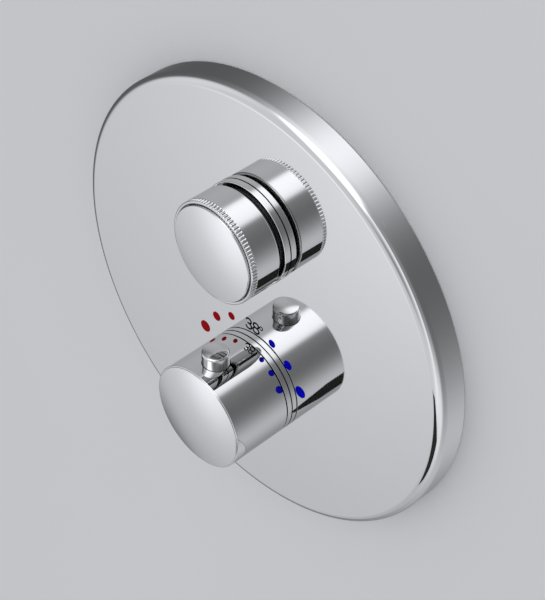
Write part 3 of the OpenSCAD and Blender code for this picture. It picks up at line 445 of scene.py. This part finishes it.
def wound(name, body, along, fixed_end, turns):
    """A spring of round wire in its CAD piece's place, along x (0) or z (2). A point at its fixed
    end, the low (0) or the high (1) one, is worked out but not used."""
    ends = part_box(name)
    low, high = ends
    middle, full = (low + high) / 2, high[along] - low[along]
    first, second = (along + 1) % 3, (along + 2) % 3
    coil = (high[first] - low[first] - wire_width) / 2
    rings = turns * rings_per_turn
    points, faces = [], []
    for i in range(rings + 1):
        around = math.tau * turns * i / rings
        wire_middle = low[along] + wire_width / 2 + (full - wire_width) * i / rings
        for k in range(wire_sides):
            on_wire = math.tau * k / wire_sides
            reach = coil + wire_width / 2 * math.cos(on_wire)
            point = middle.copy()
            point[first] += reach * math.cos(around)
            point[second] += reach * math.sin(around)
            point[along] = wire_middle + wire_width / 2 * math.sin(on_wire)
            points.append(point)
    for i in range(rings):
        for k in range(wire_sides):
            a, b = i * wire_sides + k, i * wire_sides + (k + 1) % wire_sides
            faces.append((a, a + wire_sides, b + wire_sides, b))
    start, end = range(wire_sides), range(rings * wire_sides, (rings + 1) * wire_sides)
    mesh = bpy.data.meshes.new("wound_" + name)
    mesh.from_pydata(points, [], faces + [start, end[::-1]])
    mesh.shade_smooth()
    piece = new_object("wound_" + name, mesh)
    dressed(piece, stainless, body, name)
    axis, anchor = [0, 0, 0], middle.copy()
    axis[along] = 1
    anchor[along] = ends[fixed_end][along]
    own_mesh(piece)


wound("hot_check_spring", "mixer", along=0, fixed_end=1, turns=3)
wound("cold_check_spring", "mixer", along=0, fixed_end=0, turns=3)


# The diverter cartridge in the upper chamber: a turned spindle drives one ceramic disc over
# another, in a moulded housing held by a brass nut. A rubber seal closes it at the rear.
def ceramic():
    """Lapped alumina: off-white and glossy, with a trace of grain."""
    material, n, where = new_surface("alumina")
    grain = n.noise(where, 0.3, 3)
    colour = n.mix(grain, grey(0.80, 0.775, 0.73), grey(0.86, 0.84, 0.80))
    bump = n.bump(0.1, 0.01, grain, n.soft_edge(0.15))
    principled(n, colour, 0.12 + 0.1 * grain, 0.0, bump)
    return material


def rubber(name, pore_mm, rough):
    """Black rubber: dull, with the bloom and pores that seals have."""
    material, n, where = new_surface(name)
    pores = n.noise(where, pore_mm, 4, 0.6)
    bloom = n.noise(where, 6, 3)
    colour = n.mix(bloom, grey(0.012), grey(0.032))
    principled(n, colour, rough + 0.15 * pores, 0.0, n.bump(0.5, 0.2 * pore_mm, pores))
    return material


seal_rubber = rubber("seal_rubber", 0.25, 0.45)
finish(grey_plastic, "diverter_housing")
finish(ceramic(), "diverter_turning_disc", "diverter_fixed_disc")
finish(lathe_brass, "diverter_spindle", "diverter_nut")
finish(seal_rubber, "diverter_spindle_rings", "diverter_seal")


# The thermostat in the lower chamber: the spindle's thread moves a brass carrier, whose sprung
# plunger backs the wax element. The element moves a steel sleeve between the hot and cold seats.
finish(lathe_brass, "thermostat_spindle", "thermostat_nut", "thermostat_carrier")
finish(stainless, "overload_plunger", "overload_spring", "thermostat_shuttle", "return_spring")
finish(grey_plastic, "thermostat_housing", "thermostat_end_cap")
finish(seal_rubber, "thermostat_spindle_rings", "thermostat_housing_rings")


def drawn_brass():
    """The wax element's case: drawn red brass, a little browned by hot water."""
    material, n, where = new_surface("drawn_brass")
    tarnish = n.noise(where, 4, 5, 0.6)
    colour = n.mix(tarnish, grey(0.42, 0.24, 0.10), grey(0.72, 0.50, 0.25))
    principled(n, colour, 0.2 + 0.2 * tarnish, 1.0, n.soft_edge(0.2))
    return material


finish(drawn_brass(), "wax_element")


# The cover plate: one disc of sheet brass drawn into a deep dish with a rounded edge and two lipped
# holes, then polished and plated with bright chrome. A foam strip seals its rim to the wall.
def chrome(name, tone):
    """Bright chrome plate: a mirror with the faintest haze and waviness of hand polishing."""
    material, n, where = new_surface(name)
    haze = n.noise(where, 9, 4, 0.6)
    wave = n.noise(where, 24, 1)
    colour = n.mix(haze, grey(0.99 * tone), grey(1.01 * tone))
    bump = n.bump(0.1, 0.004, wave)
    principled(n, colour, 0.018 + 0.03 * haze, 1.0, bump, Specular_Tint=grey(0.8))
    return material


# The plate's chrome is a copy of the knobs' chrome, set a shade darker: painted shade for the
# dimmer light that the plate's broad face mirrors.
bright_chrome, shaded_plate_chrome = chrome("bright_chrome", 0.603), chrome("shaded_plate_chrome", 0.587)


def line(start, end):
    """A straight stroke of a turned profile: (radius, depth, normal) points in millimetres."""
    dr, dy = end[0] - start[0], end[1] - start[1]
    length = math.hypot(dr, dy)
    return [(r, y, -dy / length, dr / length) for r, y in (start, end)]


def arc(centre, radius, start, end, steps=12):
    """A round stroke; falling angles bulge outwards and rising ones inwards."""
    side = math.copysign(1, start - end)
    points = []
    for k in range(steps + 1):
        a = math.radians(start + (end - start) * k / steps)
        out, along = math.cos(a), math.sin(a)
        r, y = centre[0] + radius * out, centre[1] + radius * along
        points.append((r, y, side * out, side * along))
    return points


sharp_angle = math.radians(40)


def set_normals(mesh, normals):
    """Keeps exact normals on a mesh, and a copy that a cut can carry over."""
    mesh.normals_split_custom_set(normals)
    kept = mesh.attributes.get("exact") or mesh.attributes.new("exact", "FLOAT_VECTOR", "CORNER")
    for corner, normal in enumerate(normals):
        kept.data[corner].vector = normal


def turned(name, strokes, place=Matrix(), segments=240, groove=None):
    """A solid turned round Y from a closed profile, which starts at its rear and runs forwards on
    the outside. groove moves points in by a depth that depends on their angle. Normals are exact,
    so that reflections stay clean, but grooved strokes take theirs from the mesh."""
    points, faces, normals, rings = [], [], [], {}

    def ring(r, y):
        key = (round(r, 5), round(y, 5))
        if key not in rings:
            count = 1 if r < 1e-6 else segments
            rings[key] = range(len(points), len(points) + count)
            for k in range(count):
                a = math.tau * k / segments
                cut_r = groove(r, y, a) if groove else r
                point = Vector((cut_r * math.sin(a), y, cut_r * math.cos(a)))
                points.append(place @ (point * MM))
        return rings[key]

    turn = place.to_3x3()
    for stroke in strokes:
        for p, q in zip(stroke, stroke[1:]):
            first, second = ring(*p[:2]), ring(*q[:2])
            grooved = groove and any(groove(s[0], s[1], 0) != s[0] for s in (p, q))
            for k in range(segments):
                corners = [(first, p, k), (second, q, k), (second, q, k + 1), (first, p, k + 1)]
                if len(second) == 1:
                    corners.pop(2)
                elif len(first) == 1:
                    corners.pop(3)
                faces.append([r[j % len(r)] for r, _, j in corners])
                for _, (_, _, out, along), j in corners:
                    a = math.tau * j / segments
                    exact = turn @ Vector((out * math.sin(a), along, out * math.cos(a)))
                    normals.append(None if grooved else exact)
    mesh = bpy.data.meshes.new(name)
    mesh.from_pydata(points, [], faces)
    mesh.shade_smooth()
    if groove:
        mesh.set_sharp_from_angle(angle=sharp_angle)
        normals = [n or mesh.corner_normals[k].vector.copy() for k, n in enumerate(normals)]
    set_normals(mesh, normals)
    return new_object(name, mesh)


def carve(piece, tool, operation="DIFFERENCE"):
    """Takes the tool's shape out of the piece, or adds it, and keeps the exact normals of both."""
    change = piece.modifiers.new("carve", "BOOLEAN")
    change.object, change.operation, change.solver = tool, operation, "EXACT"
    graph = bpy.context.evaluated_depsgraph_get()
    mesh = bpy.data.meshes.new_from_object(piece.evaluated_get(graph))
    piece.modifiers.clear()
    mesh.name = piece.data.name
    piece.data = mesh
    bpy.data.objects.remove(tool)
    kept = [corner.vector.copy() for corner in mesh.attributes["exact"].data]
    for face in mesh.polygons:
        for corner in face.loop_indices:
            exact = kept[corner].normalized()
            side = exact.dot(face.normal)
            kept[corner] = exact * math.copysign(1, side) if abs(side) > 0.3 else face.normal
    set_normals(mesh, kept)


plate_radius, plate_face, plate_edge, plate_rear, sheet = 100, -13.5, 4, -0.35, 1.2
flow_axis, temp_axis = 39.5, -39.5
hole_radius, lip_end = 20.9, -8.5
punch_rear, punch_front = 5, -20
inner_edge = plate_edge - sheet
plate_strokes = [
    line((plate_radius, plate_rear), (plate_radius, plate_face + plate_edge)),
    arc((plate_radius - plate_edge, plate_face + plate_edge), plate_edge, 0, -90, steps=28),
    line((plate_radius - plate_edge, plate_face), (0, plate_face)),
    line((0, plate_face + sheet), (plate_radius - plate_edge, plate_face + sheet)),
    arc((plate_radius - plate_edge, plate_face + plate_edge), inner_edge, -90, 0),
    line((plate_radius - sheet, plate_face + plate_edge), (plate_radius - sheet, plate_rear)),
    line((plate_radius - sheet, plate_rear), (plate_radius, plate_rear)),
]
cover_plate = turned("plate", plate_strokes, segments=480)
for axis in (flow_axis, temp_axis):
    at_hole = Matrix.Translation((0, 0, axis * MM))
    lip_radius, lip_start = hole_radius + sheet, plate_face + sheet / 2
    lip = [
        line((0, lip_end), (lip_radius, lip_end)),
        line((lip_radius, lip_end), (lip_radius, lip_start)),
        line((lip_radius, lip_start), (0, lip_start)),
    ]
    hole = [
        line((0, punch_rear), (hole_radius, punch_rear)),
        line((hole_radius, punch_rear), (hole_radius, punch_front)),
        line((hole_radius, punch_front), (0, punch_front)),
    ]
    carve(cover_plate, turned("lip", lip, at_hole, segments=128), "UNION")
    carve(cover_plate, turned("hole", hole, at_hole, segments=128))
dressed(cover_plate, shaded_plate_chrome, "mixer", "cover_plate")
finish(rubber("foam_strip", 0.7, 0.8), "plate_seal")


# The marks on the plate: three red dots for hotter and three blue for cooler, in rising sizes, and
# 38 with a degree ring at the top. They are thin enamel, printed on the chrome and baked.
def enamel(name, colour):
    """Printed enamel: a hair thick, satin, with a slightly uneven gloss."""
    material, n, where = new_surface(name)
    cloud = n.noise(where, 1.5, 3)
    tone = n.mix(cloud, deeper(colour, 0.8), colour)
    principled(n, tone, 0.5 + 0.12 * cloud, Specular_IOR_Level=0.02)
    return material


print_depth, print_root, stroke_width = 0.06, 0.03, 0.8
mark_colours = {
    "black": enamel("black_enamel", grey(0.006)),
    "red": enamel("red_enamel", grey(0.29, 0.0, 0.002)),
    "blue": enamel("blue_enamel", grey(0.0, 0.001, 0.42)),
}


def disc(x, z, radius):
    """A round patch of print on the plate's face."""
    back, front = plate_face + print_root, plate_face - print_depth
    strokes = [
        line((0, back), (radius, back)),
        line((radius, back), (radius, front)),
        line((radius, front), (0, front)),
    ]
    place = Matrix.Translation((x * MM, 0, (temp_axis + z) * MM))
    return turned("print", strokes, place, segments=48)


def brushed(path, closed=False, stroke=stroke_width):
    """A printed line along a path on the plate's face, with round ends or closed on itself."""
    mesh = bmesh.new()
    points = [Vector((x, 0, temp_axis + z)) for x, z in path]
    half, edges = stroke / 2, []
    for k, p in enumerate(points):
        before = points[k - 1] if k or closed else p
        after = points[(k + 1) % len(points)] if k + 1 < len(points) or closed else p
        along = (after - before).normalized()
        across = Vector((-along.z, 0, along.x)) * half
        edges.append((p, along, across))
    left = [p + across for p, _, across in edges]
    right = [p - across for p, _, across in edges]
    end_steps = 12
    turns = [math.pi * k / end_steps for k in range(1, end_steps)]
    if closed:
        loops = [left, right]
    else:
        p, along, across = edges[-1]
        end_cap = [p + across * math.cos(a) + along * half * math.sin(a) for a in turns]
        p, along, across = edges[0]
        start_cap = [p - across * math.cos(a) - along * half * math.sin(a) for a in turns]
        loops = [left + end_cap + right[::-1] + start_cap]
    rims = []
    for loop in loops:
        corners = [mesh.verts.new(p) for p in loop]
        rims += [mesh.edges.new((corners[k - 1], corners[k])) for k in range(len(corners))]
    bmesh.ops.triangle_fill(mesh, edges=rims, use_beauty=True, normal=(0, -1, 0))
    for corner in mesh.verts:
        corner.co.y = plate_face - print_depth
    back = bmesh.ops.extrude_face_region(mesh, geom=mesh.faces[:])
    for corner in back["geom"]:
        if isinstance(corner, bmesh.types.BMVert):
            corner.co.y = plate_face + print_root
    bmesh.ops.recalc_face_normals(mesh, faces=mesh.faces[:])
    bmesh.ops.scale(mesh, vec=Vector((MM, MM, MM)), verts=mesh.verts[:])
    data = bpy.data.meshes.new("print")
    mesh.to_mesh(data)
    mesh.free()
    set_normals(data, [corner.vector.copy() for corner in data.corner_normals])
    return new_object("print", data)


def bow(x, z, wide, high, start, end, steps=40):
    """Points round an oval from one clock angle to another, in degrees from up."""
    turns = [math.radians(start + (end - start) * k / steps) for k in range(steps + 1)]
    return [(x + wide * math.sin(a), z + high * math.cos(a)) for a in turns]


def printed(piece, name, colour):
    """Puts a finished mark on the plate."""
    piece.name = piece.data.name = name
    piece.data.materials.append(mark_colours[colour])
    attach(piece, "mixer")


dot_ring = 30.55
for size, turn, radius in (("small", 22.6, 1.85), ("medium", 42.7, 2.2), ("large", 65.7, 2.75)):
    across, up = dot_ring * math.sin(math.radians(turn)), dot_ring * math.cos(math.radians(turn))
    printed(disc(-across, up, radius), "red_dot_" + size, "red")
    printed(disc(across, up, radius), "blue_dot_" + size, "blue")

digit_low, digit_high = 27.6 + stroke_width / 2, 33.6 - stroke_width / 2
waist = 0.53 * (digit_high - digit_low) + digit_low
upper_high, lower_high = (digit_high - waist) / 2, (waist - digit_low) / 2
upper_middle, lower_middle = waist + upper_high, waist - lower_high
three_x, eight_x, degree_x, degree_z, degree_size, degree_stroke = -1.6, 2.6, 5.6, 32.3, 0.85, 0.45
upper_wide, three_wide, eight_wide, full_turn = 1.45, 1.6, 1.7, 351

three = brushed(bow(three_x, upper_middle, upper_wide, upper_high, -65, 195))
three_low = brushed(bow(three_x, lower_middle, three_wide, lower_high, -10, 250))
carve(three, three_low, "UNION")
printed(three, "three", "black")

eight_path = bow(eight_x, upper_middle, upper_wide, upper_high, 0, full_turn)
low_path = bow(eight_x, lower_middle, eight_wide, lower_high, 0, full_turn)
eight = brushed(eight_path, closed=True)
carve(eight, brushed(low_path, closed=True), "UNION")
printed(eight, "eight", "black")

degree_path = bow(degree_x, degree_z, degree_size, degree_size, 0, full_turn)
printed(brushed(degree_path, closed=True, stroke=degree_stroke), "degree_ring", "black")


# The two sleeves: turned brass tubes, chrome plated, that pass through the plate's holes. Their
# collars press on the plate, and a rubber ring in each one's groove seals it to the lip.
bore_radius, tube_radius, tube_rear = 17.5, 20.5, 3
groove_radius, groove_front, groove_rear = 18.8, -12.2, -9.8
edge_break, seam_depth, seam_width = 0.1, 0.3, 0.8


def sleeve(name, axis, collar_radius, collar_front, front_round, node):
    """One sleeve: a tube with the ring's groove, and a collar with a shadow gap at the plate."""
    rear_face, step_radius = plate_face, collar_radius - seam_width
    round_radius = collar_radius - front_round
    strokes = [
        line((tube_radius, tube_rear), (tube_radius, groove_rear)),
        line((tube_radius, groove_rear), (groove_radius, groove_rear)),
        line((groove_radius, groove_rear), (groove_radius, groove_front)),
        line((groove_radius, groove_front), (tube_radius, groove_front)),
        line((tube_radius, groove_front), (tube_radius, rear_face)),
        line((tube_radius, rear_face), (step_radius, rear_face)),
        line((step_radius, rear_face), (step_radius, rear_face - seam_depth)),
        line((step_radius, rear_face - seam_depth), (collar_radius, rear_face - seam_depth)),
        line((collar_radius, rear_face - seam_depth), (collar_radius, collar_front + front_round)),
        arc((round_radius, collar_front + front_round), front_round, 0, -90, 8),
        line((round_radius, collar_front), (bore_radius, collar_front)),
        line((bore_radius, collar_front), (bore_radius, tube_rear)),
        line((bore_radius, tube_rear), (tube_radius, tube_rear)),
    ]
    piece = turned(name, strokes, Matrix.Translation((0, 0, axis * MM)))
    dressed(piece, bright_chrome, "mixer", node)


sleeve("upper_sleeve", flow_axis, 22.2, -16.5, 0.4, "flow_sleeve")
sleeve("lower_sleeve", temp_axis, 23.5, -15.95, 0.1, "temp_sleeve")
finish(seal_rubber, "flow_sleeve_ring", "temp_sleeve_ring")


# Inside the knobs: splined plastic drivers with stop lugs, stop rings that can be set round the
# splines when the mixer is fitted, and the screws that hold the knobs. The lower knob also holds
# the safety button's steel catch and the wound spring that lifts the button.
finish(grey_plastic, "flow_driver", "temp_driver")
finish(black_plastic, "flow_stop_ring", "temp_stop_ring")
finish(stainless, "flow_knob_screw", "temp_knob_screw", "button_catch")
wound("button_spring", "temp_control", along=2, fixed_end=0, turns=5)


# The upper knob: machined from brass bar and chrome plated. Fine flutes are milled round its
# rounded rim for grip, and finer ones inside the rim. They run out softly on the side.
def crowned(side, edge, apex, crown):
    """The rounded edge and the domed face of a turned piece, as two strokes that flow together."""
    lean = math.asin((side - edge) / (crown - edge))
    middle = apex + crown
    edge_y = middle - (crown - edge) * math.cos(lean)
    end = math.degrees(lean) - 90
    return edge_y, [
        arc((side - edge, edge_y), edge, 0, end, 6),
        arc((0, middle), crown, end, -90, 10),
    ]


flute_count, flute_facets, run_out_steps = 94, 14, 6
flute_radius, flute_axis, notch_radius, notch_axis = 0.7, 22.35, 0.6, 20.05
flute_end, run_out = -30.7, 0.8
flow_radius, flow_rear, flow_rear_round = 22, -18.8, 0.9
bead_radius, bead_axis, bead_centre, near_rim = 0.8, 21.2, -32.5, 0.15
recess_radius, recess_floor, web_back = 20.4, -30.9, -29.4
flow_hollow = 20.5
dish_radius, dish_floor, dish_wall, dish_back, screw_hole = 5, -28.7, 6.5, -27.2, 2.2
bead_inner = bead_axis - bead_radius


def fluted(r, y, angle):
    """The radius after milling: the flutes outside the rim, and the notches inside it."""
    pitch = math.tau / flute_count
    off = (angle + pitch / 2) % pitch - pitch / 2
    if r > bead_axis and y < flute_end:
        reach = flute_axis * math.sin(off)
        if abs(reach) < flute_radius:
            fade = max(0, (y - flute_end) / run_out + 1) ** 2
            lift = fade * (flow_radius - flute_axis + flute_radius)
            milled = flute_axis * math.cos(off) - math.sqrt(flute_radius ** 2 - reach ** 2)
            return min(r, milled + lift)
    if recess_radius - near_rim < r < bead_axis and y < bead_centre + 0.01:
        reach = notch_axis * math.sin(off)
        if abs(reach) < notch_radius:
            milled = notch_axis * math.cos(off) + math.sqrt(notch_radius ** 2 - reach ** 2)
            return max(r, milled)
    return r


run_out_y = [flute_end - run_out * k / run_out_steps for k in range(run_out_steps + 1)]
flow_strokes = [
    line((flow_radius, flow_rear - flow_rear_round), (flow_radius, flute_end)),
] + [
    line((flow_radius, rear), (flow_radius, front)) for rear, front in zip(run_out_y, run_out_y[1:])
] + [
    line((flow_radius, flute_end - run_out), (flow_radius, bead_centre)),
    arc((bead_axis, bead_centre), bead_radius, 0, -180, 20),
    line((bead_inner, bead_centre), (recess_radius, bead_centre + 0.1)),
    line((recess_radius, bead_centre + 0.1), (recess_radius, recess_floor)),
    line((recess_radius, recess_floor), (dish_radius, recess_floor)),
    line((dish_radius, recess_floor), (dish_radius, dish_floor)),
    line((dish_radius, dish_floor), (screw_hole, dish_floor)),
    line((screw_hole, dish_floor), (screw_hole, dish_back)),
    line((screw_hole, dish_back), (dish_wall, dish_back)),
    line((dish_wall, dish_back), (dish_wall, web_back)),
    line((dish_wall, web_back), (flow_hollow, web_back)),
    line((flow_hollow, web_back), (flow_hollow, flow_rear)),
    line((flow_hollow, flow_rear), (flow_radius - flow_rear_round, flow_rear)),
    arc((flow_radius - flow_rear_round, flow_rear - flow_rear_round), flow_rear_round, 90, 0, 6),
]
at_flow = Matrix.Translation((0, 0, flow_axis * MM))
upper_knob = turned("upper_knob", flow_strokes, at_flow, flute_count * flute_facets, fluted)
dressed(upper_knob, bright_chrome, "flow_control", "flow_knob")


# The upper knob's disc: turned brass, slightly domed, polished and chrome plated. It is pressed
# into the rim and hides the knob's screw.
def pressed_disc(name, radius, back, edge, apex, crown, place, body, node):
    """A domed disc with a rounded edge."""
    edge_y, face = crowned(radius, edge, apex, crown)
    strokes = [line((radius, back), (radius, edge_y))] + face + [line((0, back), (radius, back))]
    dressed(turned(name, strokes, place), bright_chrome, body, node)


pressed_disc("upper_disc", radius=20.3, back=recess_floor, edge=0.4, apex=-35.2, crown=198.5,
             place=at_flow, body="flow_control", node="flow_knob_disc")


# The lower knob: a plain turned cylinder in chromed brass with a hole on top for the safety
# button. A domed disc is pressed into its front, inside a fine bevelled rim.
temp_radius, temp_rear, temp_front = 23.5, -16.5, -44.0
bevel, seat_radius, seat_floor, temp_web_back, temp_hollow = 0.3, 23.0, -42.4, -40.9, 21.5
temp_dish_floor, temp_dish_back = -40.2, -38.7
temp_strokes = [
    line((temp_radius, temp_rear - edge_break), (temp_radius, temp_front + bevel)),
    arc((temp_radius - bevel, temp_front + bevel), bevel, 0, -90, 6),
    line((temp_radius - bevel, temp_front), (seat_radius, temp_front)),
    line((seat_radius, temp_front), (seat_radius, seat_floor)),
    line((seat_radius, seat_floor), (dish_radius, seat_floor)),
    line((dish_radius, seat_floor), (dish_radius, temp_dish_floor)),
    line((dish_radius, temp_dish_floor), (screw_hole, temp_dish_floor)),
    line((screw_hole, temp_dish_floor), (screw_hole, temp_dish_back)),
    line((screw_hole, temp_dish_back), (dish_wall, temp_dish_back)),
    line((dish_wall, temp_dish_back), (dish_wall, temp_web_back)),
    line((dish_wall, temp_web_back), (temp_hollow, temp_web_back)),
    line((temp_hollow, temp_web_back), (temp_hollow, temp_rear)),
    line((temp_hollow, temp_rear), (temp_radius - edge_break, temp_rear)),
    line((temp_radius - edge_break, temp_rear), (temp_radius, temp_rear - edge_break)),
]
at_temp = Matrix.Translation((0, 0, temp_axis * MM))
button_depth, button_hole, drill_start, drill_end = -33.2, 5.85, -15, -32
upright = Matrix.Rotation(math.radians(-90), 4, "X")
on_top = Matrix.Translation((0, button_depth * MM, temp_axis * MM)) @ upright
drill = [
    line((0, drill_start), (button_hole, drill_start)),
    line((button_hole, drill_start), (button_hole, drill_end)),
    line((button_hole, drill_end), (0, drill_end)),
]
lower_knob = turned("lower_knob", temp_strokes, at_temp)
carve(lower_knob, turned("drill", drill, on_top, segments=96))
dressed(lower_knob, bright_chrome, "temp_control", "temp_knob")

pressed_disc("lower_disc", radius=22.98, back=seat_floor, edge=0.25, apex=-45.9, crown=165,
             place=at_temp, body="temp_control", node="temp_knob_disc")


# The safety button: a turned and chromed plunger with a domed head. It has to be pressed before
# the water can be set hotter than 38 degrees.
shank_radius, shank_start, head_radius, head_start = 4.5, -15, 5.65, -21
edge_y, head = crowned(head_radius, edge=0.8, apex=-29.9, crown=18.2)
button_strokes = [
    line((0, shank_start), (shank_radius, shank_start)),
    line((shank_radius, shank_start), (shank_radius, head_start)),
    line((shank_radius, head_start), (head_radius, head_start)),
    line((head_radius, head_start), (head_radius, edge_y)),
] + head
press_button = turned("press_button", button_strokes, on_top, segments=96)
dressed(press_button, bright_chrome, "button", "safety_button")
